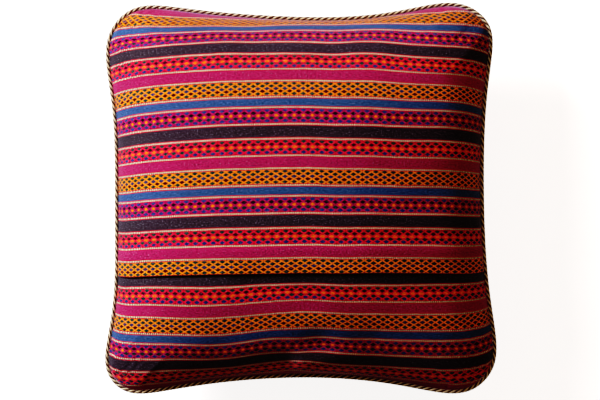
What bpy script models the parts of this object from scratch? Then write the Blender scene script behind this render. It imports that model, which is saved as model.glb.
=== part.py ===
"""A square scatter cushion in striped flat-woven cloth, lying on its front.

The body is one filled solid: the front panel and the filling, with a crown above and below, sides that draw in
between rounded corners and a small flat where the cushion rests. Two panels of cloth lie over the crown and
overlap as an envelope closure, the upper one ending in a folded hem. A twisted rope is sewn in round the seam.

Metres, +Z up. The origin is on the floor under the middle of the cushion, and +Y points to the upper panel.
"""
import math

import bmesh
import bpy
from mathutils import Vector

# Seam line, as half sizes from the middle of the cushion: for each side the size at its middle, how it widens
# towards its two ends and leans to one of them, and the tips of the corners at its first and last end
SEAM_COLUMNS = ("middle", "lean", "draw", "skew", "bow", "first_tip", "last_tip")
SEAM_SIDES = {
    "right": (0.2041, -0.0030, 0.0128, -0.0028, 0.0152, 0.2053, 0.2040),
    "top": (0.2020, -0.0049, 0.0192, 0.0167, 0.0193, 0.2025, 0.2040),
    "left": (0.2073, 0.0003, -0.0024, 0.0090, 0.0457, 0.2085, 0.2025),
    "bottom": (0.1998, -0.0013, 0.0280, 0.0054, 0.0047, 0.2085, 0.2053),
}

# Filling
SEAM_HEIGHT = 0.066
CROWN_HEIGHT = 0.070
BELLY_DEPTH = 0.0725
CROWN_FLATNESS = 2.4
CROWN_ROUNDNESS = 0.55

# Cloth panels
CLOTH_THICKNESS = 0.0014
PIECE_GAP = 0.0003
PANEL_EDGE_LIFT = 0.0031
CLOTH_TILT = 0.0125

# Rope piping: pairs of a light and a dark strand, the light ones standing a little prouder
ROPE_RADIUS = 0.0028
ROPE_GROOVE_RADIUS = 0.0022
ROPE_STRAND_PAIRS = 3
ROPE_LAY_LENGTH = 0.0225
ROPE_STEPS_PER_TURN = 9

# Grid of the crown: its columns run across, its rows up the cushion
COLUMNS = 32
ROWS = 30
HEM_ROW = 11
TUCK_ROW = 14

# Soft folds of the crown, as shares of its height. A place is given as shares of the half size, from the
# middle: x to the right and y up.
FOLD_COLUMNS = ("from_x", "from_y", "to_x", "to_y", "width", "rise")
FOLDS = (
    (-0.24, -0.44, 0.02, -0.56, 0.09, -0.035),
    (-0.70, -0.52, -0.40, -0.50, 0.12, 0.030),
    (-0.98, -0.24, -0.72, -0.20, 0.07, -0.030),
    (-0.02, -0.99, 0.10, -0.80, 0.08, -0.060),
    (0.42, -0.98, 0.36, -0.78, 0.09, -0.040),
    (-0.46, -0.98, -0.40, -0.80, 0.09, -0.035),
    (0.20, 0.99, 0.16, 0.80, 0.09, -0.050),
    (-0.30, 0.99, -0.24, 0.82, 0.09, -0.035),
    (0.62, 0.95, 0.52, 0.76, 0.09, -0.030),
    (0.98, 0.10, 0.78, 0.06, 0.09, -0.035),
    (0.97, -0.50, 0.76, -0.42, 0.09, -0.030),
    (-0.97, 0.36, -0.78, 0.30, 0.09, -0.030),
)

CLOTH_COLOUR = (0.420, 0.040, 0.085, 1.0)
FRONT_COLOUR = (0.350, 0.032, 0.075, 1.0)
ROPE_COLOUR = (0.480, 0.330, 0.200, 1.0)

DERIVATIVE_STEP = 0.0001
BISECTIONS = 40
SEAM_SAMPLES = 4000

COLLECTION = "kilim_cushion"
GUIDES = "guides"


def clear_scene():
    for old in list(bpy.data.objects):
        bpy.data.objects.remove(old)


def fabric(name, colour, roughness):
    material = bpy.data.materials.new(name)
    material.use_nodes = True
    shader = material.node_tree.nodes["Principled BSDF"]
    shader.inputs["Base Color"].default_value = colour
    shader.inputs["Roughness"].default_value = roughness
    shader.inputs["Metallic"].default_value = 0.0
    return material


def seam_half(side, along):
    """Half size of the seam line at a place on a side: the drawn-in side, cut off by its rounded corners."""
    size = dict(zip(SEAM_COLUMNS, SEAM_SIDES[side]))

    def reach(place):
        rising = size["draw"] + place * (size["skew"] + place * size["bow"])
        return size["middle"] + place * (size["lean"] + place * rising)

    end = 1.0 if along > 0 else -1.0
    tip = size["last_tip"] if along > 0 else size["first_tip"]
    slope = end * size["lean"] + 2 * size["draw"] + 3 * end * size["skew"] + 4 * size["bow"]
    cut = reach(end) - tip
    return reach(along) - cut * abs(along) ** ((slope + tip) / cut)


def blend(low, high, place):
    return 0.5 * (low + high) + 0.5 * (high - low) * place


def plan(s, t):
    """The place in plan of the point (s, t) of the cloth, where -1 and 1 are the seams."""
    x = s * blend(seam_half("left", t), seam_half("right", t), s)
    y = t * blend(seam_half("bottom", s), seam_half("top", s), t)
    return x, y


def swell(s, t):
    """The share of the full depth at (s, t): upright at the middle of a seam and flat at a corner."""
    across = max(0.0, 1 - abs(s) ** CROWN_FLATNESS) ** CROWN_ROUNDNESS
    along = max(0.0, 1 - abs(t) ** CROWN_FLATNESS) ** CROWN_ROUNDNESS
    return across * along


def folds(s, t):
    total = 0.0
    for row in FOLDS:
        fold = dict(zip(FOLD_COLUMNS, row))
        start = Vector((fold["from_x"], fold["from_y"]))
        run = Vector((fold["to_x"], fold["to_y"])) - start
        share = (Vector((s, t)) - start).dot(run) / run.length_squared
        nearest = start + run * min(max(share, 0.0), 1.0)
        away = (Vector((s, t)) - nearest).length / fold["width"]
        total += fold["rise"] * math.exp(-away ** 2)
    return total


def crown(s, t):
    x, y = plan(s, t)
    return Vector((x, y, SEAM_HEIGHT + CROWN_HEIGHT * swell(s, t) * (1 + folds(s, t))))


def belly(s, t):
    x, y = plan(s, t)
    return Vector((x, y, max(0.0, SEAM_HEIGHT - BELLY_DEPTH * swell(s, t))))


def crown_normal(s, t):
    across = crown(s + DERIVATIVE_STEP, t) - crown(s - DERIVATIVE_STEP, t)
    along = crown(s, t + DERIVATIVE_STEP) - crown(s, t - DERIVATIVE_STEP)
    return across.cross(along).normalized()


def panel_reach(u, v):
    """How far out the cloth panels go in the direction (u, v), to leave room for the rope in the seam."""
    longest = max(abs(u), abs(v))
    if longest == 0.0:
        return 1.0
    low, high = 0.0, 1.0
    for _ in range(BISECTIONS):
        middle = 0.5 * (low + high)
        if CROWN_HEIGHT * swell(middle * u / longest, middle * v / longest) > PANEL_EDGE_LIFT:
            low = middle
        else:
            high = middle
    return low


def cloth_place(column, row):
    """Cloth point of a column and a row, closer together near the seams."""
    u = math.sin(0.5 * math.pi * (2 * column / COLUMNS - 1))
    v = math.sin(0.5 * math.pi * (2 * row / ROWS - 1))
    return u, v + CLOTH_TILT * -u * (1 - v ** 2)


def panel_place(column, row):
    u, v = cloth_place(column, row)
    reach = panel_reach(u, v)
    return u * reach, v * reach


def layered_solid(name, first_row, last_row, lower, upper, material):
    """A closed solid between two layers over the same grid: lower(column, row) and upper(column, row)."""
    bm = bmesh.new()
    bmesh.ops.create_grid(bm, x_segments=COLUMNS, y_segments=last_row - first_row, size=1.0)
    floor_layer = list(bm.verts)
    raised = bmesh.ops.extrude_face_region(bm, geom=list(bm.faces), use_keep_orig=True)
    upper_layer = [item for item in raised["geom"] if isinstance(item, bmesh.types.BMVert)]
    for vert in upper_layer:
        vert.co = upper(*grid_index(vert.co, first_row, last_row))
    for vert in floor_layer:
        vert.co = lower(*grid_index(vert.co, first_row, last_row))
    bmesh.ops.recalc_face_normals(bm, faces=list(bm.faces))
    mesh = bpy.data.meshes.new(name)
    bm.to_mesh(mesh)
    bm.free()
    mesh.shade_smooth()
    mesh.set_sharp_from_angle(angle=math.radians(50))
    return place(name, mesh, material)


def grid_index(co, first_row, last_row):
    column = round(0.5 * (co.x + 1) * COLUMNS)
    row = first_row + round(0.5 * (co.y + 1) * (last_row - first_row))
    return column, row


def place(name, data, material):
    data.materials.append(material)
    obj = bpy.data.objects.new(name, data)
    bpy.data.collections[COLLECTION].objects.link(obj)
    return obj


def body(material):
    """The filled body. Its crown ends a little above the seam, and its own outer skin goes down to the seam."""
    def upper(column, row):
        return crown(*panel_place(column, row))

    def lower(column, row):
        return belly(*cloth_place(column, row))

    return layered_solid("cushion_body", 0, ROWS, lower, upper, material)


def cloth_layer(column, row, offset):
    s, t = panel_place(column, row)
    return crown(s, t) + crown_normal(s, t) * offset


def lower_panel(material):
    """From the bottom seam to where it is tucked under the hem of the upper panel."""
    def inside(column, row):
        return cloth_layer(column, row, PIECE_GAP)

    def outside(column, row):
        return cloth_layer(column, row, PIECE_GAP + CLOTH_THICKNESS)

    return layered_solid("lower_back_panel", 0, TUCK_ROW, inside, outside, material)


def upper_panel(material):
    """From the top seam to its folded hem, rising over the edge of the lower panel."""
    over_lower_panel = 2 * PIECE_GAP + CLOTH_THICKNESS

    def underside(row):
        return over_lower_panel if row <= TUCK_ROW else PIECE_GAP

    def layers(row):
        return 2 if row <= HEM_ROW + 1 else 1

    def inside(column, row):
        return cloth_layer(column, row, underside(row))

    def outside(column, row):
        return cloth_layer(column, row, underside(row) + layers(row) * CLOTH_THICKNESS)

    return layered_solid("upper_back_panel", HEM_ROW, ROWS, inside, outside, material)


def seam_point(turn):
    """A point of the seam line, for a turn from 0 to 4: the bottom, right, top and left sides in order."""
    side = int(turn) % 4
    along = 2 * (turn - int(turn)) - 1
    s, t = ((along, -1), (1, along), (-along, 1), (-1, -along))[side]
    return Vector((*plan(s, t), 0.0))


def rope_line():
    """Even points of the rope's middle line, just outside the seam."""
    points = [seam_point(4 * k / SEAM_SAMPLES) for k in range(SEAM_SAMPLES)]
    line = []
    for k, point in enumerate(points):
        run = points[(k + 1) % SEAM_SAMPLES] - points[k - 1]
        outward = Vector((run.y, -run.x, 0.0)).normalized()
        line.append(point + outward * (ROPE_RADIUS + PIECE_GAP))
    lengths = [0.0]
    for k in range(SEAM_SAMPLES):
        lengths.append(lengths[-1] + (line[(k + 1) % SEAM_SAMPLES] - line[k]).length)
    turns = round(lengths[-1] / ROPE_LAY_LENGTH)
    steps = turns * ROPE_STEPS_PER_TURN
    even, k = [], 0
    for step in range(steps):
        target = lengths[-1] * step / steps
        while lengths[k + 1] < target:
            k += 1
        share = (target - lengths[k]) / (lengths[k + 1] - lengths[k])
        even.append(line[k].lerp(line[(k + 1) % SEAM_SAMPLES], share))
    return even


def rope_section():
    """The rope's cross-section, a guide curve: a peak for each light strand, a groove for each dark one."""
    curve = bpy.data.curves.new("rope_section", "CURVE")
    curve.dimensions = "2D"
    corners = 2 * ROPE_STRAND_PAIRS
    spline = curve.splines.new("POLY")
    spline.points.add(corners - 1)
    for k in range(corners):
        radius = ROPE_RADIUS if k % 2 == 0 else ROPE_GROOVE_RADIUS
        angle = -2 * math.pi * k / corners
        spline.points[k].co = (radius * math.cos(angle), radius * math.sin(angle), 0.0, 1.0)
    spline.use_cyclic_u = True
    guide = bpy.data.objects.new("rope_section", curve)
    guide.hide_render = True
    guide.display_type = "WIRE"
    bpy.data.collections[GUIDES].objects.link(guide)
    return guide


def rope_piping(material):
    """The rope sewn in round the seam, its strands laid to the left."""
    curve = bpy.data.curves.new("rope_piping", "CURVE")
    curve.dimensions = "3D"
    curve.twist_mode = "Z_UP"
    curve.bevel_mode = "OBJECT"
    curve.bevel_object = rope_section()
    line = rope_line()
    spline = curve.splines.new("POLY")
    spline.points.add(len(line) - 1)
    for k, point in enumerate(line):
        spline.points[k].co = (point.x, point.y, SEAM_HEIGHT, 1.0)
        spline.points[k].tilt = -2 * math.pi * k / ROPE_STEPS_PER_TURN
    spline.use_cyclic_u = True
    spline.use_smooth = True
    return place("rope_piping", curve, material)


def main():
    clear_scene()
    for name in (COLLECTION, GUIDES):
        bpy.context.scene.collection.children.link(bpy.data.collections.new(name))
    cloth = fabric("striped_cloth", CLOTH_COLOUR, 0.85)
    body(fabric("front_cloth", FRONT_COLOUR, 0.85))
    lower_panel(cloth)
    upper_panel(cloth)
    rope_piping(fabric("rope", ROPE_COLOUR, 0.8))


main()
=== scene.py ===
"""How the kilim cushion looks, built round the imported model.

The cushion lies on its front with the closure side up. Its filled body carries the front cloth. Two panels
of the same striped cloth cover the back and overlap in a folded hem, and a twisted rope is sewn in round the
seam.

Metres, +Z up. A place on the cloth is given by shares s and t of the half size, from -1 to 1 between the
seams: s to the right and t up to the upper panel.
"""
import math

import bmesh
import bpy
import numpy as np
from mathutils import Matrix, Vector


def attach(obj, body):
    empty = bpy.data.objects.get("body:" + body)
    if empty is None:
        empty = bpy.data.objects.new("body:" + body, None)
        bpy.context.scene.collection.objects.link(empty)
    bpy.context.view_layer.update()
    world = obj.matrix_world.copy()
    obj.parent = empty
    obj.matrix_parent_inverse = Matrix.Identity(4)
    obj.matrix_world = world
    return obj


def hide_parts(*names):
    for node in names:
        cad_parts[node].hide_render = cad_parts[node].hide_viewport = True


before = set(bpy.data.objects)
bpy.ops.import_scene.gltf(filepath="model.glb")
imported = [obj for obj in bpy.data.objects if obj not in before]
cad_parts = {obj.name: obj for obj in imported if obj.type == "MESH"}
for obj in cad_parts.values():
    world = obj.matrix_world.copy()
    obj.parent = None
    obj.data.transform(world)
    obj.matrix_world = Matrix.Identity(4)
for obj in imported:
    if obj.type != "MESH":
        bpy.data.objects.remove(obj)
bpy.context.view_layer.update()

MM = 0.001

# Photograph: its width and middle, where the cushion's middle is in it, how many pixels away the camera
# stands, and how large one pixel is in the plane of the seam
PHOTO_WIDTH = 600
PHOTO_MIDDLE = (300.0, 200.0)
CUSHION_PIXEL = (300.8, 198.1)
VIEW_DISTANCE_PIXELS = 1400
PIXEL = 1.145 * MM
SENSOR_WIDTH_MM = 36.0

# Seam line, as half sizes from the middle of the cushion: for each side the size at its middle, how it widens
# towards its two ends and leans to one of them, and the tips of the corners at its first and last end. The
# whole line lies SEAM_OUTWARD further out, because the rope round it is that much thinner than its solid.
SEAM_COLUMNS = ("middle", "lean", "draw", "skew", "bow", "first_tip", "last_tip")
SEAM_SIDES = {
    "right": (0.2041, -0.0030, 0.0128, -0.0028, 0.0152, 0.2053, 0.2040),
    "top": (0.2020, -0.0049, 0.0192, 0.0167, 0.0193, 0.2025, 0.2040),
    "left": (0.2073, 0.0003, -0.0024, 0.0090, 0.0457, 0.2085, 0.2025),
    "bottom": (0.1998, -0.0013, 0.0280, 0.0054, 0.0047, 0.2085, 0.2053),
}
SEAM_OUTWARD = 1.2 * MM

# Filling: height of the seam, how far the upper side rises over it and the hidden side would hang below it,
# how softly that side settles on the floor, and the two powers that shape both
SEAM_HEIGHT = 0.066
CROWN_HEIGHT = 0.070
BELLY_DEPTH = 0.0725
REST_SOFTNESS = 0.0015
CROWN_FLATNESS = 2.4
CROWN_ROUNDNESS = 0.55

# Cover which is blown up to form the upper side: half its flat cut, how round its corners are, the height
# from which it starts, the cells along a side of its net, the frames that it takes, and its cloth. NET_PARTS
# steps of the finer net stand for one cell.
COVER_HALF = 0.228
COVER_CORNER = 0.055
COVER_START = 0.062
COVER_CELLS = 96
COVER_FRAMES = 24
COVER_CLOTH = {
    "quality": 8,
    "mass": 0.02,
    "tension_stiffness": 80,
    "compression_stiffness": 80,
    "shear_stiffness": 20,
    "bending_stiffness": 0.05,
    "tension_damping": 25,
    "compression_damping": 25,
    "shear_damping": 25,
    "bending_damping": 1,
    "air_damping": 5,
    "use_pressure": True,
    "uniform_pressure_force": 60.0,
}
NET_PARTS = 4

# Cloth: half its cut size between the seams, its thickness and the gap under each layer. From EDGE_TAPER over
# the seam's height the layers come down and grow thinner, to these shares of their height and thickness at
# the seam itself. The body's own upper side is drawn in a little, so that it stays under the panels there.
CLOTH_HALF = 0.2256
CLOTH_THICKNESS = 1.1 * MM
LAYER_GAP = 0.3 * MM
EDGE_TAPER = 9.0 * MM
EDGE_CLOSENESS = 0.25
EDGE_THINNESS = 0.6
BODY_UNDER_CLOTH = 0.995

# Closure: how far the upper panel is turned under at its hem, how far the lower panel reaches under it, and
# the strip beyond each in which the upper panel comes down, the first share of it level
HEM_DEPTH = 22 * MM
HEM_FOLD_RADIUS = 0.75 * MM
HEM_RAMP = 12 * MM
OVERLAP_DEPTH = 48 * MM
OVERLAP_RAMP = 25 * MM
RAMP_START = 0.1
HEM_ROUNDS = 4

# Stripes, from the top of a repeat downwards: height in millimetres, and the colour of a plain stripe or of
# the ground between the threads of a patterned one
STRIPES = (
    ("orange", 18.6, (184, 60, 16)),
    ("blue", 11.9, (61, 88, 130)),
    ("purple", 18.8, (84, 15, 50)),
    ("black", 16.3, (64, 54, 62)),
    ("red", 18.7, (98, 14, 38)),
    ("magenta", 14.0, (160, 48, 93)),
)
REPEAT = sum(row[1] for row in STRIPES) * MM

# Where an orange stripe begins on each panel, up from the cushion's middle along the cloth, how far below an
# orange stripe's top the hem lies, and how far up the magenta stripe at the top seam goes
UPPER_ORANGE_TOP = 130.13 * MM
LOWER_ORANGE_TOP = -130.2 * MM
HEM_BELOW_ORANGE_TOP = 16.4 * MM
TOP_MAGENTA = 12.3 * MM

# How the cloth was pulled while it was sewn: shifts upwards in millimetres for powers of s and t
DRIFT_COLUMNS = ("s_power", "t_power", "shift_mm")
UPPER_DRIFT = (
    (1, 0, 1.6),
    (2, 0, -3.6),
    (2, 1, -13.4),
    (8, 1, 20.5),
)
LOWER_DRIFT = (
    (1, 4, -2.8),
    (3, 1, -4.5),
    (4, 0, 9.0),
    (8, 0, -15.5),
)

# Where a panel was caught up near its seam: a place, the widths round it, and the shift upwards there
PULL_COLUMNS = ("s", "t", "width_s", "width_t", "shift_mm")
UPPER_PULLS = (
    (-0.90, 0.85, 0.20, 0.10, -2.2),
    (-0.60, 1.00, 0.30, 0.15, -14.6),
    (-0.45, 0.93, 0.30, 0.15, 6.6),
    (-0.30, 1.00, 0.20, 0.10, -7.2),
    (0.60, 0.85, 0.30, 0.30, 2.2),
    (0.60, 0.85, 0.45, 0.20, 4.6),
    (0.75, 0.93, 0.30, 0.30, -12.8),
)
LOWER_PULLS = (
    (-0.50, -0.75, 0.30, 0.30, -4.1),
    (-0.40, -0.85, 0.15, 0.15, -4.3),
    (0.00, -0.75, 0.30, 0.30, 1.6),
    (0.00, -0.85, 0.10, 0.10, -4.1),
    (0.00, -0.95, 0.10, 0.10, 5.3),
    (0.35, -0.95, 0.20, 0.20, -2.4),
)

# Pattern woven into three of the stripes. Its lozenges stand in staggered rows: the first row and the step to
# the next are shares of the stripe's height, and a lozenge's half height is in steps.
LOZENGE_PITCH = 9.88 * MM
FIRST_ROW = 0.172
ROW_STEP = 0.1590
LOZENGE_HALF_HEIGHT = 0.68

# How far from a lozenge's middle, in pitches along the threads' slant, a thread begins and is full, and the
# same for where two threads cross
THREAD_EDGE = (0.37, 0.44)
CROSSING_EDGE = (0.30, 0.42)

# Chart of the pattern: for each patterned stripe the thread of its lattice where two threads cross and
# between, then the lozenges from the row above the first to the row below the last, as colour and half width
# in pitches
CHART_ROWS = 7
CHART = {
    "orange": {
        "crossing": (250, 126, 18),
        "thread": (255, 160, 28),
        "lozenges": (
            ((190, 50, 40), 0.20),
            ((44, 68, 60), 0.37),
            ((40, 60, 56), 0.37),
            ((58, 62, 96), 0.36),
            ((76, 24, 26), 0.37),
            ((44, 68, 60), 0.37),
            ((110, 18, 33), 0.22),
        ),
    },
    "purple": {
        "crossing": (166, 20, 88),
        "thread": (200, 36, 108),
        "lozenges": (
            ((106, 17, 59), 0.20),
            ((52, 66, 118), 0.38),
            ((48, 20, 38), 0.36),
            ((238, 120, 24), 0.28),
            ((40, 62, 60), 0.36),
            ((50, 66, 120), 0.38),
            ((67, 16, 40), 0.22),
        ),
    },
    "red": {
        "crossing": (226, 22, 60),
        "thread": (250, 42, 84),
        "lozenges": (
            ((124, 22, 53), 0.20),
            ((42, 70, 64), 0.36),
            ((72, 20, 38), 0.35),
            ((236, 112, 36), 0.36),
            ((42, 70, 64), 0.36),
            ((46, 62, 112), 0.37),
            ((93, 19, 42), 0.22),
        ),
    },
}

# Dotted lines between the stripes, each with a plain red margin on both sides
DOTS_PER_LOZENGE = 4
DOT_HALF = 0.23
DOTTED_LINE = 1.75 * MM
MARGIN_LINE = 0.9 * MM
CREAM = (255, 246, 212)
CREAM_GAP = (6, 1, 3)
MARGIN_RED = (200, 20, 56)

# Grain of the cloth. A fineness is in waves per metre across and down, and a spread brings a grain's values
# from its first two numbers to its last two. The stripes waver by up to half of WAVER.
WAVER = 0.5 * MM
WAVER_FINENESS = (45.0, 140.0)
HEATHER_FINENESS = (470.0, 640.0)
HEATHER_SPREAD = (0.28, 0.72, 0.50, 1.55)
PATCH_FINENESS = (30.0, 30.0)
PATCH_SPREAD = (0.3, 0.7, 0.94, 1.06)
FLUFF_FINENESS = (650.0, 650.0)
FLUFF_SPREAD = (0.60, 0.76, 0.0, 0.32)
FLUFF = (196, 190, 220)

# Relief of the cloth: the spacing of its threads each way, how much each thing stands out, as shares of the
# relief's depth, and the shader's even values
PICK_SPACING = LOZENGE_PITCH / 8
WARP_SPACING = 1.1 * MM
WEAVE_RELIEF = 0.25
HEATHER_RELIEF = 0.5
LATTICE_RELIEF = 0.35
DOT_RELIEF = 0.5
CLOTH_RELIEF = 0.25 * MM
CLOTH_FINISH = {
    "Roughness": 0.86,
    "Sheen Weight": 0.45,
    "Sheen Roughness": 0.40,
    "Sheen Tint": (0.66, 0.66, 1.0, 1.0),
    "Specular IOR Level": 0.08,
}

# Rope piping: pairs of a light and a dark strand
ROPE_RADIUS = 2.2 * MM
ROPE_GAP = 0.3 * MM
ROPE_STRAND_PAIRS = 2
ROPE_LAY_LENGTH = 15.4 * MM
LIGHT_STRAND_RADIUS = 1.12 * MM
DARK_STRAND_RADIUS = 0.92 * MM
STEPS_PER_TURN = 18
STRAND_SIDES = 8
SEAM_SAMPLES = 4000
ROPE_CREAM = (255, 240, 204)
ROPE_BROWN = (84, 34, 32)

# Yarn of the rope: its fine plies along and round a strand, how much painted shade darkens the cream and the
# brown in the plies' grooves and painted highlight lightens them on their ridges, and its fuzz, with fineness
# and spread as for the cloth
PLY_ALONG = 1.5 * MM
PLY_AROUND = 1.6 * MM
CREAM_PLY_PAINTED_SHADE = 0.08
BROWN_PLY_PAINTED_SHADE = 0.12
FUZZ_FINENESS = (900.0, 1800.0)
FUZZ_SPREAD = (0.25, 0.75, 0.75, 1.15)
PLY_RELIEF = 0.5
YARN_RELIEF = 0.15 * MM
YARN_FINISH = {
    "Roughness": 0.8,
    "Sheen Weight": 0.2,
    "Specular IOR Level": 0.3,
}

# Floor: pale, nearly even, and glowing a little
FLOOR_HALF = 20.0
FLOOR_FINENESS = 40.0
FLOOR_SPREAD = (0.3, 0.7, 0.86, 0.90)
FLOOR_RELIEF = 0.1 * MM
FLOOR_FINISH = {
    "Roughness": 0.9,
    "Emission Color": (1.0, 1.0, 1.0, 1.0),
    "Emission Strength": 1.4,
}

# Light: a small soft lamp low at the upper left, a weak warm one at the upper right, and a faint warm fill
KEY_PLACE = (-1.88, 1.32, 1.07)
LIGHT_AIM = (0.0, 0.0, 0.10)
KEY_SIZE = 0.90
KEY_POWER = 134.0
KEY_COLOUR = (0.98, 0.98, 1.0)
SIDE_PLACE = (1.35, 1.20, 1.70)
SIDE_SIZE = 1.5
SIDE_POWER = 10.0
SIDE_COLOUR = (1.0, 0.66, 0.45)
FILL = 0.19
FILL_COLOUR = (1.0, 0.72, 0.50, 1.0)

# Tone: how light in the scene, as a share of what shows as white, comes out in the picture
CONTRAST = 1.22
WHITE = 1.74
TONE = (
    (0.0254, 0.0105),
    (0.0626, 0.0710),
    (0.1530, 0.2510),
    (0.3060, 0.5230),
    (0.5750, 0.7660),
)

# Fineness of the pieces' grids, and the steps in s and t over which slopes are measured
COLUMNS = 300
UPPER_ROWS = 125
FOLD_STEPS = 8
UNDER_ROWS = 10
LOWER_ROWS = 110
BODY_COLUMNS = 200
BODY_ROWS = 150
MAP_ROWS = 600
NORMAL_STEP = 0.0001
DOWN_STEP = 0.001

# Bake map: the width of a layer's share of it, where the second one starts, and the margin above and below
BAKE_WIDTH = 0.49
BAKE_SECOND = 0.505
BAKE_MARGIN = 0.005

# Soft folds of the crown: the line each one follows and its width, in shares of the half size, and its rise,
# as a share of the crown's height there
FOLD_COLUMNS = ("from_x", "from_y", "to_x", "to_y", "width", "rise")
FOLDS = (
    (-0.24, -0.44, 0.02, -0.56, 0.09, -0.035),
    (-0.70, -0.52, -0.40, -0.50, 0.12, 0.030),
    (-0.98, -0.24, -0.72, -0.20, 0.07, -0.030),
    (-0.02, -0.99, 0.10, -0.80, 0.08, -0.060),
    (0.42, -0.98, 0.36, -0.78, 0.09, -0.040),
    (-0.46, -0.98, -0.40, -0.80, 0.09, -0.035),
    (0.20, 0.99, 0.16, 0.80, 0.09, -0.050),
    (-0.30, 0.99, -0.24, 0.82, 0.09, -0.035),
    (0.62, 0.95, 0.52, 0.76, 0.09, -0.030),
    (0.98, 0.10, 0.78, 0.06, 0.09, -0.035),
    (0.97, -0.50, 0.76, -0.42, 0.09, -0.030),
    (-0.97, 0.36, -0.78, 0.30, 0.09, -0.030),
    (0.64, -0.70, 0.64, 0.70, 0.24, -0.075),
)

# Tucks where the lower seam draws the cover in: place along the seam and distance up from it, widths to the
# left, to the right and up, and how far the cover is pushed in, or out where it is less than nothing. The
# push runs mostly downwards, and fades out towards the seam.
TUCK_COLUMNS = ("s", "up_mm", "left", "right", "width_mm", "depth_mm")
TUCKS = (
    (-0.085, 18.0, 0.150, 0.040, 12.0, 3.0),
    (0.030, 15.0, 0.070, 0.260, 17.0, -9.0),
)
TUCK_START = 7 * MM
TUCK_INWARD = 0.10
TUCK_DOWNWARD = 1.00


def linear(colour):
    """A screen colour from 0 to 255 as Blender's linear light."""
    def channel(value):
        share = value / 255
        return share / 12.92 if share <= 0.04045 else ((share + 0.055) / 1.055) ** 2.4

    return (*(channel(value) for value in colour), 1.0)


# Shape of the cushion


def seam_half(side, along):
    """Half size of the seam line at a place on a side: the drawn-in side, cut off by its rounded corners."""
    size = dict(zip(SEAM_COLUMNS, SEAM_SIDES[side]))

    def reach(place):
        rising = size["draw"] + place * (size["skew"] + place * size["bow"])
        return size["middle"] + place * (size["lean"] + place * rising)

    end = np.where(along > 0, 1.0, -1.0)
    tip = np.where(along > 0, size["last_tip"], size["first_tip"])
    slope = end * size["lean"] + 2 * size["draw"] + 3 * end * size["skew"] + 4 * size["bow"]
    cut = reach(end) - tip
    return SEAM_OUTWARD + reach(along) - cut * np.abs(along) ** ((slope + tip) / cut)


def blend(low, high, place):
    """low at the place -1, high at the place 1, and evenly between them."""
    return 0.5 * (low + high) + 0.5 * (high - low) * place


def plan(s, t):
    """The place in plan of the cloth point (s, t)."""
    x = s * blend(seam_half("left", t), seam_half("right", t), s)
    y = t * blend(seam_half("bottom", s), seam_half("top", s), t)
    return x, y


def swell(s, t):
    """The share of the full depth at (s, t): upright at the middle of a seam and flat at a corner."""
    across = np.clip(1 - np.abs(s) ** CROWN_FLATNESS, 0, 1) ** CROWN_ROUNDNESS
    along = np.clip(1 - np.abs(t) ** CROWN_FLATNESS, 0, 1) ** CROWN_ROUNDNESS
    return across * along


def folds(s, t):
    """How much the crown rises or sinks in its soft folds at (s, t), as a share of its height."""
    total = np.zeros(np.broadcast(s, t).shape)
    for row in FOLDS:
        fold = dict(zip(FOLD_COLUMNS, row))
        run_x = fold["to_x"] - fold["from_x"]
        run_y = fold["to_y"] - fold["from_y"]
        past_x = s - fold["from_x"]
        past_y = t - fold["from_y"]
        share = np.clip((past_x * run_x + past_y * run_y) / (run_x ** 2 + run_y ** 2), 0, 1)
        away = np.hypot(past_x - share * run_x, past_y - share * run_y)
        total = total + fold["rise"] * np.exp(-(away / fold["width"]) ** 2)
    return total


def tucks(s, t):
    """How far in the cover is drawn at (s, t) near the lower seam."""
    up = (1 + t) * CLOTH_HALF
    total = np.zeros(np.broadcast(s, t).shape)
    for row in TUCKS:
        tuck = dict(zip(TUCK_COLUMNS, row))
        width = np.where(s < tuck["s"], tuck["left"], tuck["right"])
        away = ((s - tuck["s"]) / width) ** 2 + ((up - tuck["up_mm"] * MM) / (tuck["width_mm"] * MM)) ** 2
        total = total + tuck["depth_mm"] * MM * np.exp(-away)
    return total * smooth_step(0, TUCK_START, up)


def closed_net(cells):
    """Shares s and t of a net of square cells, its rim, and the faces of two such nets sewn up there."""
    shares = np.linspace(-1, 1, cells + 1)
    s, t = np.meshgrid(shares, shares)
    rim = (np.abs(s) == 1) | (np.abs(t) == 1)
    upper = np.arange(s.size).reshape(s.shape)
    lower = np.where(rim, upper, s.size + np.cumsum(~rim.ravel()).reshape(s.shape) - 1)
    faces = []
    for layer, order in ((upper, 1), (lower, -1)):
        corners = np.stack([layer[:-1, :-1], layer[:-1, 1:], layer[1:, 1:], layer[1:, :-1]], axis=-1)
        faces.append(corners.reshape(-1, 4)[:, ::order])
    return s, t, rim, np.vstack(faces)


def flat_cover(s, t):
    """Where the point (s, t) lies in the cover's flat cut, a square with rounded corners."""
    power = (1 - COVER_CORNER) / COVER_CORNER
    x = COVER_HALF * s * (1 - COVER_CORNER * np.abs(t) ** power)
    y = COVER_HALF * t * (1 - COVER_CORNER * np.abs(s) ** power)
    return x, y


def two_sides(x, y, height, inner):
    """Points of the upper side and, without the rim that they share, of the lower one."""
    upper = np.stack([x, y, height], axis=-1).reshape(-1, 3)
    lower = np.stack([x[inner], y[inner], -height[inner]], axis=-1)
    return np.vstack([upper, lower])


def cover_object(s, t, rim, faces):
    """The cover as it starts, held at its rim, and its flat cut as a shape key."""
    mesh = bpy.data.meshes.new("cover")
    points = two_sides(*plan(s, t), COVER_START * swell(s, t), ~rim)
    mesh.from_pydata(points.tolist(), [], faces.tolist())
    cover = bpy.data.objects.new("cover", mesh)
    bpy.context.scene.collection.objects.link(cover)
    held = cover.vertex_groups.new(name="held")
    held.add([int(k) for k in np.flatnonzero(rim.ravel())], 1.0, "REPLACE")
    cover.shape_key_add(name="Basis")
    cut = cover.shape_key_add(name="flat_cut")
    flat = two_sides(*flat_cover(s, t), 0 * s, ~rim)
    cut.data.foreach_set("co", flat.astype(np.float32).ravel())
    return cover, cut


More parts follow.
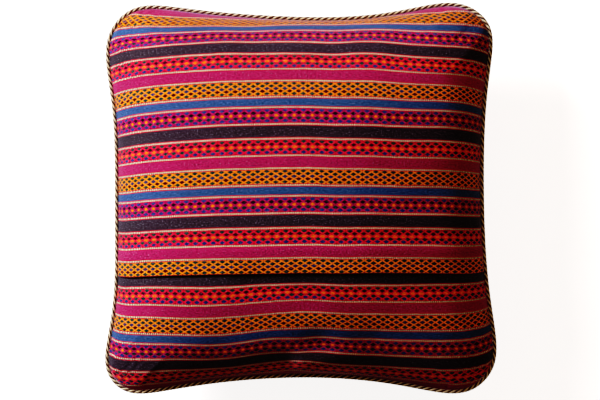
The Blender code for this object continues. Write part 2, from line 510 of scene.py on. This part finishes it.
def filled_net():
    """Blows up the flat cover, held at its seam, as the filling does. Gives the upper side's points."""
    s, t, rim, faces = closed_net(COVER_CELLS)
    cover, cut = cover_object(s, t, rim, faces)
    cloth = cover.modifiers.new("Cloth", "CLOTH")
    settings = cloth.settings
    settings.rest_shape_key = cut
    settings.vertex_group_mass = "held"
    for setting, value in COVER_CLOTH.items():
        setattr(settings, setting, value)
    settings.effector_weights.gravity = 0
    cloth.point_cache.frame_start = 1
    cloth.point_cache.frame_end = COVER_FRAMES
    for step in range(1, COVER_FRAMES + 1):
        bpy.context.scene.frame_set(step)
    filled = cover.evaluated_get(bpy.context.evaluated_depsgraph_get()).to_mesh()
    points = np.zeros(3 * len(filled.vertices), np.float32)
    filled.vertices.foreach_get("co", points)
    mesh = cover.data
    bpy.data.objects.remove(cover)
    bpy.data.meshes.remove(mesh)
    bpy.context.scene.frame_set(1)
    net = points.reshape(-1, 3)[:s.size].reshape(*s.shape, 3).astype(float)
    net[..., 2] *= CROWN_HEIGHT / net[..., 2].max()
    return finer(finer(net, 0), 1)


def finer(net, axis):
    """The net with NET_PARTS steps for each one along an axis, on smooth curves through its points."""
    net = np.moveaxis(net, axis, 0)
    before = np.concatenate([2 * net[:1] - net[1:2], net[:-1]])
    after = np.concatenate([net[1:], 2 * net[-1:] - net[-2:-1]])
    slope = 0.5 * (after - before)
    parts = []
    for k in range(NET_PARTS):
        share = k / NET_PARTS
        rest = 1 - share
        from_first = rest ** 2 * ((1 + 2 * share) * net[:-1] + share * slope[:-1])
        from_second = share ** 2 * ((1 + 2 * rest) * net[1:] - rest * slope[1:])
        parts.append(from_first + from_second)
    woven = np.stack(parts, axis=1).reshape(-1, *net.shape[1:])
    return np.moveaxis(np.concatenate([woven, net[-1:]]), 0, axis)


NET = filled_net()


def net_point(s, t):
    """The point of the filled net at (s, t), between its four nearest points."""
    last = len(NET) - 1
    column = np.clip(0.5 * (s + 1) * last, 0, last)
    row = np.clip(0.5 * (t + 1) * last, 0, last)
    i = np.minimum(column.astype(int), last - 1)
    j = np.minimum(row.astype(int), last - 1)
    a = (column - i)[..., None]
    b = (row - j)[..., None]
    return ((1 - a) * (1 - b) * NET[j, i] + a * (1 - b) * NET[j, i + 1]
            + (1 - a) * b * NET[j + 1, i] + a * b * NET[j + 1, i + 1])


def even_crown(s, t):
    """The point (s, t) of the upper side before the tucks draw it in."""
    s, t = np.broadcast_arrays(np.asarray(s, float), np.asarray(t, float))
    if NET is None:
        x, y = plan(s, t)
        point = np.stack([x, y, CROWN_HEIGHT * swell(s, t)], axis=-1)
    else:
        point = net_point(s, t)
    point[..., 2] = SEAM_HEIGHT + point[..., 2] * (1 + folds(s, t))
    return point


def crown(s, t):
    """The point (s, t) of the upper side, on which the back panels lie."""
    point = even_crown(s, t)
    drawn = tucks(s, t)
    point[..., 1] += TUCK_INWARD * drawn
    point[..., 2] -= TUCK_DOWNWARD * drawn
    return point


def belly(s, t):
    """The hidden side, which settles softly on the floor."""
    x, y = plan(s, t)
    height = SEAM_HEIGHT - BELLY_DEPTH * swell(s, t)
    settled = 0.5 * (height + np.sqrt(height ** 2 + REST_SOFTNESS ** 2)) - 0.5 * REST_SOFTNESS
    return np.stack([x, y, np.maximum(0.0, settled)], axis=-1)


def unit(vectors):
    """The vectors brought to length 1."""
    return vectors / np.linalg.norm(vectors, axis=-1, keepdims=True)


def crown_normal(s, t):
    """The direction straight out from the upper side at (s, t)."""
    edge = 1 - 2 * NORMAL_STEP
    inner_s = np.clip(s, -edge, edge)
    inner_t = np.clip(t, -edge, edge)
    across = crown(inner_s + NORMAL_STEP, inner_t) - crown(inner_s - NORMAL_STEP, inner_t)
    along = crown(inner_s, inner_t + NORMAL_STEP) - crown(inner_s, inner_t - NORMAL_STEP)
    return unit(np.cross(across, along))


def crown_down(s, t):
    """The direction along the upper side at (s, t) towards the lower seam."""
    return unit(crown(s, np.clip(t - DOWN_STEP, -1, 1)) - crown(s, np.clip(t + DOWN_STEP, -1, 1)))


def seam_spaced(count):
    """Shares from -1 to 1, closer together near the seams."""
    return np.sin(0.5 * math.pi * np.linspace(-1, 1, count + 1))


class ClothMap:
    """Where the cloth's own flat measures u and v lie on a side, the cloth being stretched evenly over it."""

    def __init__(self, surface, columns):
        self.s = seam_spaced(columns)
        self.t = seam_spaced(MAP_ROWS)
        points = surface(self.s[None, :], self.t[:, None])
        self.v = self.measure(points, 0)
        self.u = self.measure(points, 1)

    @staticmethod
    def measure(points, axis):
        """Length along the points of an axis, scaled to run from -CLOTH_HALF to CLOTH_HALF."""
        steps = np.linalg.norm(np.diff(points, axis=axis), axis=-1)
        start = np.zeros_like(np.take(steps, [0], axis=axis))
        length = np.cumsum(np.concatenate([start, steps], axis=axis), axis=axis)
        total = np.take(length, [-1], axis=axis)
        return (2 * length / total - 1) * CLOTH_HALF

    def t_at(self, v):
        """The share t in each column at which the cloth's measure is v, an array of rows by columns."""
        columns = [np.interp(v[:, i], self.v[:, i], self.t) for i in range(len(self.s))]
        return np.stack(columns, axis=1)

    def at(self, measure, t):
        """The cloth's measure u or v at the shares t in each column."""
        columns = [np.interp(t[:, i], self.t, measure[:, i]) for i in range(len(self.s))]
        return np.stack(columns, axis=1)


def drift(table, pulls, s, t):
    """How far up from their even place the cloth's stripes lie at (s, t)."""
    total = 0.0
    for row in table:
        shift = dict(zip(DRIFT_COLUMNS, row))
        total = total + shift["shift_mm"] * MM * s ** shift["s_power"] * t ** shift["t_power"]
    for row in pulls:
        pull = dict(zip(PULL_COLUMNS, row))
        away = ((s - pull["s"]) / pull["width_s"]) ** 2 + ((t - pull["t"]) / pull["width_t"]) ** 2
        total = total + pull["shift_mm"] * MM * np.exp(-away)
    return total


def smooth_step(low, high, value):
    """0 up to low, 1 from high on, and a soft step between them."""
    share = np.clip((value - low) / (high - low), 0, 1)
    return share * share * (3 - 2 * share)


# Meshes


def facing_out(mesh):
    """Turns the faces of a closed mesh outwards and shades it smooth."""
    bm = bmesh.new()
    bm.from_mesh(mesh)
    bmesh.ops.recalc_face_normals(bm, faces=list(bm.faces))
    bm.to_mesh(mesh)
    bm.free()
    mesh.shade_smooth()


def layered_mesh(name, lower, upper, cloth):
    """A closed mesh between two layers, arrays of rows by columns of points, with flat cloth measures."""
    rows, columns = lower.shape[:2]
    bm = bmesh.new()
    bmesh.ops.create_grid(bm, x_segments=columns - 1, y_segments=rows - 1, size=0.5)
    for vert in bm.verts:
        vert.co.z = 0
    raised = bmesh.ops.extrude_face_region(bm, geom=list(bm.faces), use_keep_orig=True)
    for item in raised["geom"]:
        if isinstance(item, bmesh.types.BMVert):
            item.co.z = 1
    mesh = bpy.data.meshes.new(name)
    bm.to_mesh(mesh)
    bm.free()
    index = np.zeros(3 * len(mesh.vertices), np.float32)
    mesh.vertices.foreach_get("co", index)
    index = index.reshape(-1, 3)
    column = np.rint((index[:, 0] + 0.5) * (columns - 1)).astype(int)
    row = np.rint((index[:, 1] + 0.5) * (rows - 1)).astype(int)
    is_upper = index[:, 2] > 0.5
    places = np.where(is_upper[:, None], upper[row, column], lower[row, column])
    mesh.vertices.foreach_set("co", places.astype(np.float32).ravel())
    attribute = mesh.attributes.new("cloth", "FLOAT_VECTOR", "POINT")
    attribute.data.foreach_set("vector", cloth[row, column].astype(np.float32).ravel())
    add_bake_map(mesh, column / (columns - 1), row / (rows - 1), is_upper)
    facing_out(mesh)
    return mesh


def add_bake_map(mesh, across, along, is_upper):
    """Lays the two layers side by side, so that each has room of its own for a baked finish."""
    layer = mesh.uv_layers.new(name="OFBake")
    vertex = np.zeros(len(mesh.loops), int)
    mesh.loops.foreach_get("vertex_index", vertex)
    x = BAKE_WIDTH * across + np.where(is_upper, 0.0, BAKE_SECOND)
    y = BAKE_MARGIN + (1 - 2 * BAKE_MARGIN) * along
    place = np.stack([x[vertex], y[vertex]], axis=1)
    layer.data.foreach_set("uv", place.astype(np.float32).ravel())


def piece(name, mesh, materials):
    """An object of the mesh with its materials."""
    for material in materials:
        mesh.materials.append(material)
    obj = bpy.data.objects.new(name, mesh)
    bpy.context.scene.collection.objects.link(obj)
    return obj


def panel_layers(cloth_map, path_v, path_offset, path_turn):
    """Points of a panel's two faces, and the shares s and t over which they lie.

    The panel's middle line in each column is a path of cloth measures and heights over the filling, and
    path_turn is the angle by which the path has turned under.
    """
    s = cloth_map.s[None, :] + 0 * path_v
    t = np.clip(cloth_map.t_at(path_v), -1, 1)
    base = crown(s, t)
    normal = crown_normal(s, t)
    taper = smooth_step(0, EDGE_TAPER, base[..., 2] - SEAM_HEIGHT)
    offset = path_offset * (EDGE_CLOSENESS + (1 - EDGE_CLOSENESS) * taper)
    half = 0.5 * CLOTH_THICKNESS * (EDGE_THINNESS + (1 - EDGE_THINNESS) * taper)
    middle = base + normal * offset[..., None]
    aside = normal * np.cos(path_turn)[..., None] + crown_down(s, t) * np.sin(path_turn)[..., None]
    outer = middle + aside * half[..., None]
    inner = middle - aside * half[..., None]
    return inner, outer, s, t


def hem_line(cloth_map):
    """The cloth measure in each column at which the upper panel turns under, along a line of its stripes."""
    even = UPPER_ORANGE_TOP - 2 * REPEAT - HEM_BELOW_ORANGE_TOP
    hem = even + 0 * cloth_map.s
    for _ in range(HEM_ROUNDS):
        hem = even + drift(UPPER_DRIFT, UPPER_PULLS, cloth_map.s, cloth_map.t_at(hem[None, :])[0])
    return hem


def lifted(reach, ramp, over):
    """1 where the cloth is no further over the hem than the reach, and 0 from the end of the ramp on."""
    return 1 - smooth_step(reach + RAMP_START * ramp, reach + ramp, over)


def upper_path(hem):
    """The upper panel's middle line in each column, from the top seam down, round its fold and up under it.

    Gives the cloth measures, the heights over the filling, the angles turned under and the lengths past the
    hem.
    """
    rest = LAYER_GAP + 0.5 * CLOTH_THICKNESS
    stack = rest + LAYER_GAP + CLOTH_THICKNESS
    high = stack + 2 * HEM_FOLD_RADIUS

    down = np.sin(0.5 * math.pi * np.linspace(0, 1, UPPER_ROWS))[:, None]
    main_v = CLOTH_HALF + (hem[None, :] - CLOTH_HALF) * down
    over = main_v - hem[None, :]
    main_height = (rest + (stack - rest) * lifted(OVERLAP_DEPTH, OVERLAP_RAMP, over)
                   + (high - stack) * lifted(HEM_DEPTH, HEM_RAMP, over))

    turned = np.linspace(0, math.pi, FOLD_STEPS + 1)[1:-1, None] + 0 * hem[None, :]
    fold_v = hem[None, :] - HEM_FOLD_RADIUS * np.sin(turned)
    fold_height = stack + HEM_FOLD_RADIUS * (1 + np.cos(turned))

    under = np.linspace(0, HEM_DEPTH, UNDER_ROWS)[:, None] + 0 * hem[None, :]
    under_v = hem[None, :] + under

    path_v = np.concatenate([main_v, fold_v, under_v])
    height = np.concatenate([main_height, fold_height, stack + 0 * under])
    turn = np.concatenate([0 * main_v, turned, math.pi + 0 * under])
    past_hem = np.concatenate([0 * main_v, HEM_FOLD_RADIUS * turned, HEM_FOLD_RADIUS * math.pi + 2 * under])
    return path_v, height, turn, past_hem


def upper_panel(cloth_map, hem, material):
    """From the top seam to its folded hem, where it lies over the lower panel."""
    path_v, height, turn, past_hem = upper_path(hem)
    inner, outer, s, t = panel_layers(cloth_map, path_v, height, turn)
    flat_v = path_v - drift(UPPER_DRIFT, UPPER_PULLS, s, t)
    flat_v = np.minimum(flat_v, UPPER_ORANGE_TOP + REPEAT + TOP_MAGENTA)
    flat = np.stack([cloth_map.at(cloth_map.u, t), UPPER_ORANGE_TOP - flat_v + past_hem, 0 * t], axis=-1)
    obj = piece("upper_cloth", layered_mesh("upper_cloth", inner, outer, flat), [material])
    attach(obj, "root")
    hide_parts("upper_back_panel")


def lower_panel(cloth_map, hem, material):
    """From the bottom seam to its edge, which is tucked under the upper panel's hem."""
    edge = hem + OVERLAP_DEPTH
    down = np.sin(0.5 * math.pi * np.linspace(0, 1, LOWER_ROWS))[:, None]
    path_v = edge[None, :] - (edge + CLOTH_HALF)[None, :] * down
    height = LAYER_GAP + 0.5 * CLOTH_THICKNESS + 0 * path_v
    inner, outer, s, t = panel_layers(cloth_map, path_v, height, 0 * path_v)
    flat_v = path_v - drift(LOWER_DRIFT, LOWER_PULLS, s, t)
    flat = np.stack([cloth_map.at(cloth_map.u, t), LOWER_ORANGE_TOP - flat_v, 0 * t], axis=-1)
    obj = piece("lower_cloth", layered_mesh("lower_cloth", inner, outer, flat), [material])
    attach(obj, "root")
    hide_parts("lower_back_panel")


def body(material):
    """The filled body, with the front cloth as its skin."""
    s, t = np.meshgrid(seam_spaced(BODY_COLUMNS), seam_spaced(BODY_ROWS))
    upper = crown(BODY_UNDER_CLOTH * s, BODY_UNDER_CLOTH * t)
    lower = belly(s, t)
    belly_map = ClothMap(belly, BODY_COLUMNS)
    u = belly_map.at(belly_map.u, t)
    v = belly_map.at(belly_map.v, t)
    flat = np.stack([-u, LOWER_ORANGE_TOP - v, 0 * u], axis=-1)
    obj = piece("cushion", layered_mesh("cushion", lower, upper, flat), [material])
    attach(obj, "root")
    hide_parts("cushion_body")


# Rope


def outward_of(points):
    """The directions out from a closed line of points in plan that runs anticlockwise."""
    run = np.roll(points, -1, axis=0) - np.roll(points, 1, axis=0)
    return unit(np.stack([run[:, 1], -run[:, 0]], axis=-1))


def seam_line():
    """Even points of the rope's middle line, just outside the seam, directions out and lengths along it."""
    turn = 4 * np.arange(SEAM_SAMPLES) / SEAM_SAMPLES
    side = turn.astype(int)
    along = 2 * (turn - side) - 1
    one = np.ones_like(along)
    s = np.select([side == 0, side == 1, side == 2], [along, one, -along], -one)
    t = np.select([side == 0, side == 1, side == 2], [-one, along, one], -along)
    points = np.stack(plan(s, t), axis=-1)
    line = points + outward_of(points) * (ROPE_RADIUS + ROPE_GAP)
    closed = np.vstack([line, line[:1]])
    length = np.concatenate([[0], np.cumsum(np.linalg.norm(np.diff(closed, axis=0), axis=1))])
    turns = round(length[-1] / ROPE_LAY_LENGTH)
    even = np.linspace(0, length[-1], turns * STEPS_PER_TURN, endpoint=False)
    middle = np.stack([np.interp(even, length, closed[:, k]) for k in range(2)], axis=-1)
    return middle, outward_of(middle), even


def strand_tube(centre, outward, ring, turned, radius):
    """Points of a strand that winds round the rope's middle line, by steps along it and angles round it."""
    angle = 2 * math.pi * (turned + np.arange(len(centre)) / STEPS_PER_TURN)
    radial = np.cos(angle)[:, None] * outward + np.sin(angle)[:, None] * np.array([0.0, 0.0, 1.0])
    path = centre + radial * (ROPE_RADIUS - radius)
    tangent = unit(np.roll(path, -1, axis=0) - np.roll(path, 1, axis=0))
    sideways = unit(np.cross(tangent, radial))
    round_it = (np.cos(ring)[None, :, None] * radial[:, None, :]
                + np.sin(ring)[None, :, None] * sideways[:, None, :])
    return path[:, None, :] + radius * round_it


def closed_tube_faces(count):
    """Faces of a tube of STRAND_SIDES sides that closes on itself after count steps."""
    k = np.arange(count)[:, None]
    j = np.arange(STRAND_SIDES)[None, :]
    here = k * STRAND_SIDES
    ahead = (k + 1) % count * STRAND_SIDES
    beside = (j + 1) % STRAND_SIDES
    return np.stack([here + j, ahead + j, ahead + beside, here + beside], axis=-1).reshape(-1, 4)


def rope(light, dark):
    """Strands laid to the left round the seam, light and dark in turn."""
    middle, outward, even = seam_line()
    count = len(middle)
    centre = np.column_stack([middle, np.full(count, SEAM_HEIGHT)])
    outward = np.column_stack([outward, np.zeros(count)])
    ring = 2 * math.pi * np.arange(STRAND_SIDES) / STRAND_SIDES
    verts, faces, kinds, yarn = [], [], [], []
    strands = 2 * ROPE_STRAND_PAIRS
    for strand in range(strands):
        kind = strand % 2
        radius = (LIGHT_STRAND_RADIUS, DARK_STRAND_RADIUS)[kind]
        verts.append(strand_tube(centre, outward, ring, strand / strands, radius).reshape(-1, 3))
        faces.append(strand * count * STRAND_SIDES + closed_tube_faces(count))
        kinds.append(np.full(count * STRAND_SIDES, kind))
        along = np.repeat(even, STRAND_SIDES)
        around = np.tile(ring * radius, count)
        yarn.append(np.column_stack([along, around, np.full(len(along), strand)]))
    mesh = bpy.data.meshes.new("rope")
    mesh.from_pydata(np.vstack(verts).tolist(), [], np.vstack(faces).tolist())
    mesh.polygons.foreach_set("material_index", np.concatenate(kinds).astype(np.int32))
    attribute = mesh.attributes.new("yarn", "FLOAT_VECTOR", "POINT")
    attribute.data.foreach_set("vector", np.vstack(yarn).astype(np.float32).ravel())
    facing_out(mesh)
    obj = piece("rope", mesh, [light, dark])
    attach(obj, "root")
    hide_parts("rope_piping")


# Materials


class Graph:
    """Builds one material's nodes from sums written as calls."""

    def __init__(self, name):
        self.material = bpy.data.materials.new(name)
        self.material.use_nodes = True
        self.tree = self.material.node_tree
        self.shader = self.tree.nodes["Principled BSDF"]

    def node(self, kind, **settings):
        made = self.tree.nodes.new(kind)
        for key, value in settings.items():
            setattr(made, key, value)
        return made

    def put(self, value, socket):
        if isinstance(value, bpy.types.NodeSocket):
            self.tree.links.new(value, socket)
        else:
            socket.default_value = value

    def math(self, operation, *values):
        """The outcome of a sum, such as ADD, of numbers or sockets."""
        made = self.node("ShaderNodeMath", operation=operation)
        for value, socket in zip(values, made.inputs):
            self.put(value, socket)
        return made.outputs[0]

    def mix(self, factor, first, second, kind="MIX"):
        made = self.node("ShaderNodeMix", data_type="RGBA", blend_type=kind)
        self.put(factor, made.inputs[0])
        self.put(first, made.inputs[6])
        self.put(second, made.inputs[7])
        return made.outputs[2]

    def spread(self, value, low, high, out_low=0.0, out_high=1.0, smooth=True):
        """value brought from low..high to out_low..out_high."""
        kind = "SMOOTHSTEP" if smooth else "LINEAR"
        made = self.node("ShaderNodeMapRange", interpolation_type=kind)
        for item, socket in zip((value, low, high, out_low, out_high), made.inputs):
            self.put(item, socket)
        return made.outputs[0]

    def shaded(self, colour, fade):
        """The colour made darker or lighter by a factor."""
        return self.mix(1.0, colour, self.vector(fade, fade, fade), "MULTIPLY")

    def steps(self, factor, stops):
        """The colour and the fourth value of the last of the stops up to the factor."""
        made = self.node("ShaderNodeValToRGB")
        made.color_ramp.interpolation = "CONSTANT"
        elements = made.color_ramp.elements
        while len(elements) < len(stops):
            elements.new(1.0)
        for element, (place, colour) in zip(elements, stops):
            element.position = place
            element.color = colour
        self.put(factor, made.inputs[0])
        return made.outputs[0], made.outputs[1]

    def vector(self, x, y, z):
        made = self.node("ShaderNodeCombineXYZ")
        for value, socket in zip((x, y, z), made.inputs):
            self.put(value, socket)
        return made.outputs[0]

    def noise(self, place, scale, detail=2.0):
        made = self.node("ShaderNodeTexNoise")
        self.put(place, made.inputs["Vector"])
        self.put(scale, made.inputs["Scale"])
        self.put(detail, made.inputs["Detail"])
        return made.outputs[0]

    def grain(self, across, down, fineness, layer, detail=2.0):
        """Noise over the cloth, with its fineness across and down. Each layer is another noise."""
        x = self.math("MULTIPLY", across, fineness[0])
        y = self.math("MULTIPLY", down, fineness[1])
        return self.noise(self.vector(x, y, layer), 1.0, detail)

    def attribute(self, name):
        return self.node("ShaderNodeAttribute", attribute_name=name).outputs["Vector"]

    def parts(self, vector):
        made = self.node("ShaderNodeSeparateXYZ")
        self.put(vector, made.inputs[0])
        return made.outputs[0], made.outputs[1], made.outputs[2]

    def finish(self, colour, height, depth, sockets):
        """Sets the shader's colour, its relief, and the values that are the same all over."""
        bump = self.node("ShaderNodeBump")
        bump.inputs["Distance"].default_value = depth
        self.put(height, bump.inputs["Height"])
        self.put(bump.outputs[0], self.shader.inputs["Normal"])
        self.put(colour, self.shader.inputs["Base Color"])
        for name, value in sockets.items():
            self.shader.inputs[name].default_value = value
        return self.material


def stripe_edges():
    """Where the stripes of a repeat begin, from its top, and where the last one ends."""
    edges = [0.0]
    for row in STRIPES:
        edges.append(edges[-1] + row[1] * MM)
    return edges


def nearest_edge(g, place, edges):
    """How far a place in the repeat is from the nearest edge of a stripe."""
    nearest = g.math("ABSOLUTE", g.math("SUBTRACT", place, edges[0]))
    for edge in edges[1:]:
        nearest = g.math("MINIMUM", nearest, g.math("ABSOLUTE", g.math("SUBTRACT", place, edge)))
    return nearest


def patterned_stripe(g, place, edges):
    """1 in a patterned stripe, the place as a share of that stripe's height, and its number in the chart."""
    patterned, share, number = 0.0, 0.0, 0.0
    names = [row[0] for row in STRIPES]
    for order, stripe in enumerate(CHART):
        top, bottom = edges[names.index(stripe):][:2]
        inside = g.math("MULTIPLY", g.math("GREATER_THAN", place, top), g.math("LESS_THAN", place, bottom))
        here = g.math("DIVIDE", g.math("SUBTRACT", place, top), bottom - top)
        patterned = g.math("ADD", patterned, inside)
        share = g.math("ADD", share, g.math("MULTIPLY", here, inside))
        number = g.math("ADD", number, g.math("MULTIPLY", inside, float(order)))
    return patterned, share, number


def charted_lozenge(g, stripe, row):
    """The colour and half width of the lozenges in a row of a stripe of the chart."""
    row = g.math("MINIMUM", g.math("MAXIMUM", row, -1.0), float(CHART_ROWS - 2))
    cell = g.math("ADD", g.math("MULTIPLY", stripe, float(CHART_ROWS)), g.math("ADD", row, 1.5))
    lozenges = [linear(colour)[:3] + (half_width,)
                for entry in CHART.values() for colour, half_width in entry["lozenges"]]
    stops = [(k / len(lozenges), lozenge) for k, lozenge in enumerate(lozenges)]
    return g.steps(g.math("DIVIDE", cell, float(len(lozenges))), stops)


def charted_thread(g, stripe, part):
    """The colour of a part of the lattice in a stripe of the chart."""
    stops = [(k / len(CHART), linear(entry[part])) for k, entry in enumerate(CHART.values())]
    return g.steps(g.math("DIVIDE", g.math("ADD", stripe, 0.5), float(len(CHART))), stops)[0]


def lozenge_pattern(g, across, share, stripe, ground):
    """The colour of the pattern at a place, in pitches across and a share down its stripe, and its threads.

    The threads slant both ways, so a place is measured along rising and falling lines through the lozenges'
    middles.
    """
    half_row = g.math("MULTIPLY", g.math("DIVIDE", g.math("SUBTRACT", share, FIRST_ROW), ROW_STEP), 0.5)
    rising = g.math("ADD", across, half_row)
    falling = g.math("SUBTRACT", across, half_row)
    rising_whole = g.math("ROUND", rising)
    falling_whole = g.math("ROUND", falling)
    rising_rest = g.math("SUBTRACT", rising, rising_whole)
    falling_rest = g.math("SUBTRACT", falling, falling_whole)

    row = g.math("SUBTRACT", rising_whole, falling_whole)
    lozenge_colour, half_width = charted_lozenge(g, stripe, row)
    off_middle = g.math("ABSOLUTE", g.math("MULTIPLY", g.math("ADD", rising_rest, falling_rest), 0.5))
    off_row = g.math("ABSOLUTE", g.math("SUBTRACT", rising_rest, falling_rest))
    reach = g.math("ADD", g.math("DIVIDE", off_middle, half_width),
                   g.math("DIVIDE", off_row, LOZENGE_HALF_HEIGHT))
    lozenge = g.math("LESS_THAN", reach, 1.0)

    rising_off = g.math("ABSOLUTE", rising_rest)
    falling_off = g.math("ABSOLUTE", falling_rest)
    thread = g.spread(g.math("MAXIMUM", rising_off, falling_off), *THREAD_EDGE)
    crossing = g.spread(g.math("MINIMUM", rising_off, falling_off), *CROSSING_EDGE)
    threads = g.mix(crossing, charted_thread(g, stripe, "thread"), charted_thread(g, stripe, "crossing"))
    return g.mix(lozenge, g.mix(thread, ground, threads), lozenge_colour), thread


def striped_cloth(name):
    """Flat-woven stripes: plain ones, and ones with a lattice of lozenges, parted by dotted lines."""
    g = Graph(name)
    u, down, _ = g.parts(g.attribute("cloth"))
    waver = g.grain(u, down, WAVER_FINENESS, 0.0, 1.0)
    down = g.math("ADD", down, g.math("MULTIPLY", g.math("SUBTRACT", waver, 0.5), WAVER))
    place = g.math("MULTIPLY", g.math("FRACT", g.math("DIVIDE", down, REPEAT)), REPEAT)
    across = g.math("ADD", g.math("DIVIDE", u, LOZENGE_PITCH), 0.5)

    edges = stripe_edges()
    stops = [(edge / REPEAT, linear(row[2])) for edge, row in zip(edges, STRIPES)]
    ground, _ = g.steps(g.math("DIVIDE", place, REPEAT), stops)
    patterned, share, stripe = patterned_stripe(g, place, edges)
    pattern, thread = lozenge_pattern(g, across, share, stripe, ground)
    colour = g.mix(patterned, ground, pattern)

    nearest = nearest_edge(g, place, edges)
    margin = g.math("LESS_THAN", nearest, 0.5 * DOTTED_LINE + MARGIN_LINE)
    dotted = g.math("LESS_THAN", nearest, 0.5 * DOTTED_LINE)
    beat = g.math("FRACT", g.math("MULTIPLY", across, float(DOTS_PER_LOZENGE)))
    dot = g.math("LESS_THAN", g.math("ABSOLUTE", g.math("SUBTRACT", beat, 0.5)), DOT_HALF)
    colour = g.mix(margin, colour, linear(MARGIN_RED))
    colour = g.mix(dotted, colour, g.mix(dot, linear(CREAM_GAP), linear(CREAM)))

    heather = g.grain(u, down, HEATHER_FINENESS, 3.0)
    patch = g.grain(u, down, PATCH_FINENESS, 7.0)
    fluff = g.grain(u, down, FLUFF_FINENESS, 11.0, 1.0)
    fade = g.math("MULTIPLY", g.spread(heather, *HEATHER_SPREAD, smooth=False),
                  g.spread(patch, *PATCH_SPREAD, smooth=False))
    colour = g.mix(g.spread(fluff, *FLUFF_SPREAD), g.shaded(colour, fade), linear(FLUFF))

    picks = g.math("SINE", g.math("MULTIPLY", u, 2 * math.pi / PICK_SPACING))
    warps = g.math("SINE", g.math("MULTIPLY", down, 2 * math.pi / WARP_SPACING))
    height = g.math("MULTIPLY", g.math("MULTIPLY", picks, warps), WEAVE_RELIEF)
    height = g.math("ADD", height, g.math("MULTIPLY", heather, HEATHER_RELIEF))
    height = g.math("ADD", height, g.math("MULTIPLY", g.math("MULTIPLY", patterned, thread), LATTICE_RELIEF))
    height = g.math("ADD", height, g.math("MULTIPLY", g.math("MULTIPLY", dotted, dot), DOT_RELIEF))
    return g.finish(colour, height, CLOTH_RELIEF, CLOTH_FINISH)


def rope_yarn(name, colour, ply_painted_shade):
    """Cotton yarn with fine plies along it, painted darker in their grooves and lighter on their ridges:
    painted shade and painted highlight.
    """
    g = Graph(name)
    along, around, strand = g.parts(g.attribute("yarn"))
    wound = g.math("ADD", g.math("MULTIPLY", along, 2 * math.pi / PLY_ALONG),
                   g.math("MULTIPLY", around, 2 * math.pi / PLY_AROUND))
    ply = g.math("SINE", wound)
    fuzz = g.grain(along, around, FUZZ_FINENESS, strand)
    # The plies' wave both raises the relief and colours it: painted shade in the grooves and painted
    # highlight on the ridges, over the random fuzz
    fade = g.math("ADD", g.spread(fuzz, *FUZZ_SPREAD, smooth=False), g.math("MULTIPLY", ply, ply_painted_shade))
    height = g.math("ADD", g.math("MULTIPLY", ply, PLY_RELIEF), fuzz)
    return g.finish(g.shaded(linear(colour), fade), height, YARN_RELIEF, YARN_FINISH)


def floor_finish():
    g = Graph("pale_floor")
    place = g.node("ShaderNodeNewGeometry").outputs["Position"]
    grain = g.noise(place, FLOOR_FINENESS, 3.0)
    shade = g.spread(grain, *FLOOR_SPREAD, smooth=False)
    return g.finish(g.vector(shade, shade, shade), grain, FLOOR_RELIEF, FLOOR_FINISH)


# Surroundings


def floor():
    """A wide plain floor, which throws no light back on the cushion."""
    bm = bmesh.new()
    bmesh.ops.create_grid(bm, x_segments=1, y_segments=1, size=FLOOR_HALF)
    mesh = bpy.data.meshes.new("floor")
    bm.to_mesh(mesh)
    bm.free()
    obj = piece("floor", mesh, [floor_finish()])
    obj.visible_diffuse = False


def lamp(name, place, size, power, colour):
    """A round soft lamp that is aimed at the cushion."""
    data = bpy.data.lights.new(name, "AREA")
    data.shape = "DISK"
    data.size = size
    data.energy = power
    data.color = colour
    obj = bpy.data.objects.new(name, data)
    obj.location = place
    obj.rotation_euler = (Vector(LIGHT_AIM) - Vector(place)).to_track_quat("-Z", "Y").to_euler()
    bpy.context.scene.collection.objects.link(obj)


def lights():
    """The two lamps and the fill from all round."""
    world = bpy.data.worlds.new("studio")
    world.use_nodes = True
    background = world.node_tree.nodes["Background"]
    background.inputs[0].default_value = FILL_COLOUR
    background.inputs[1].default_value = FILL
    bpy.context.scene.world = world
    lamp("key", KEY_PLACE, KEY_SIZE, KEY_POWER, KEY_COLOUR)
    lamp("side", SIDE_PLACE, SIDE_SIZE, SIDE_POWER, SIDE_COLOUR)


def camera():
    """Straight above the cushion, at the photograph's distance."""
    data = bpy.data.cameras.new("camera")
    data.sensor_width = SENSOR_WIDTH_MM
    data.lens = SENSOR_WIDTH_MM * VIEW_DISTANCE_PIXELS / PHOTO_WIDTH
    obj = bpy.data.objects.new("camera", data)
    obj.location = (
        (PHOTO_MIDDLE[0] - CUSHION_PIXEL[0]) * PIXEL,
        (CUSHION_PIXEL[1] - PHOTO_MIDDLE[1]) * PIXEL,
        SEAM_HEIGHT + VIEW_DISTANCE_PIXELS * PIXEL,
    )
    bpy.context.scene.collection.objects.link(obj)
    bpy.context.scene.camera = obj


def tone():
    """The curve from the scene's light to the picture, the same for all three colours."""
    view = bpy.context.scene.view_settings
    view.view_transform = "Standard"
    view.gamma = 1 / CONTRAST
    view.use_curve_mapping = True
    view.curve_mapping.white_level = (WHITE, WHITE, WHITE)
    combined = view.curve_mapping.curves[3]
    for light, shown in TONE:
        combined.points.new(light, shown)
    for point in combined.points:
        point.handle_type = "AUTO_CLAMPED"
    view.curve_mapping.update()


def main():
    tone()
    camera()
    lights()
    floor()
    cloth = striped_cloth("striped_cloth")
    body(cloth)
    cloth_map = ClothMap(even_crown, COLUMNS)
    hem = hem_line(cloth_map)
    lower_panel(cloth_map, hem, cloth)
    upper_panel(cloth_map, hem, cloth)
    rope(rope_yarn("cream_yarn", ROPE_CREAM, CREAM_PLY_PAINTED_SHADE), rope_yarn("brown_yarn", ROPE_BROWN, BROWN_PLY_PAINTED_SHADE))


main()
